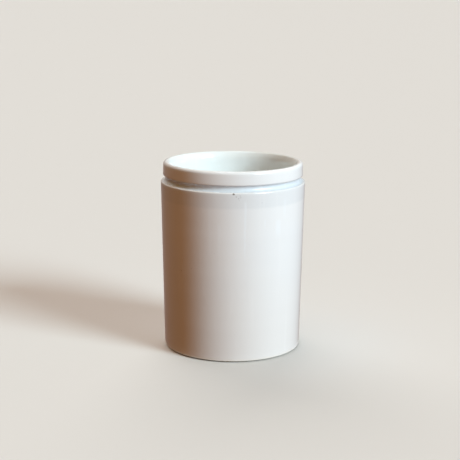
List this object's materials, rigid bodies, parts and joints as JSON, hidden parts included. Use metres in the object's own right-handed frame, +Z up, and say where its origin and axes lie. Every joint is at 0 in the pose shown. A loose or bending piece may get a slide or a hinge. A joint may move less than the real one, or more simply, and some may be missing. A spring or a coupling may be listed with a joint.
{
  "type": "apothecary jar",
  "caption": "Open straight-sided white glazed ceramic jar, a little wider at the shoulder than at the foot, with a string groove under a rounded rim for a tied-on cover.",
  "frame": {"origin": "centre of the foot, on the surface that the jar stands on", "axes": "+Z up along the jar's axis; the jar is round, so X and Y have no mark of their own"},
  "size_m": [0.1, 0.1, 0.1307],
  "materials": {
    "clay": "matte",
    "white_glaze": "gloss"
  },
  "bodies": {
    "root": {"ceramic_body": "clay", "outer_glaze": "white_glaze", "inner_glaze": "white_glaze", "base_glaze": "white_glaze"}
  },
  "joints": []
}
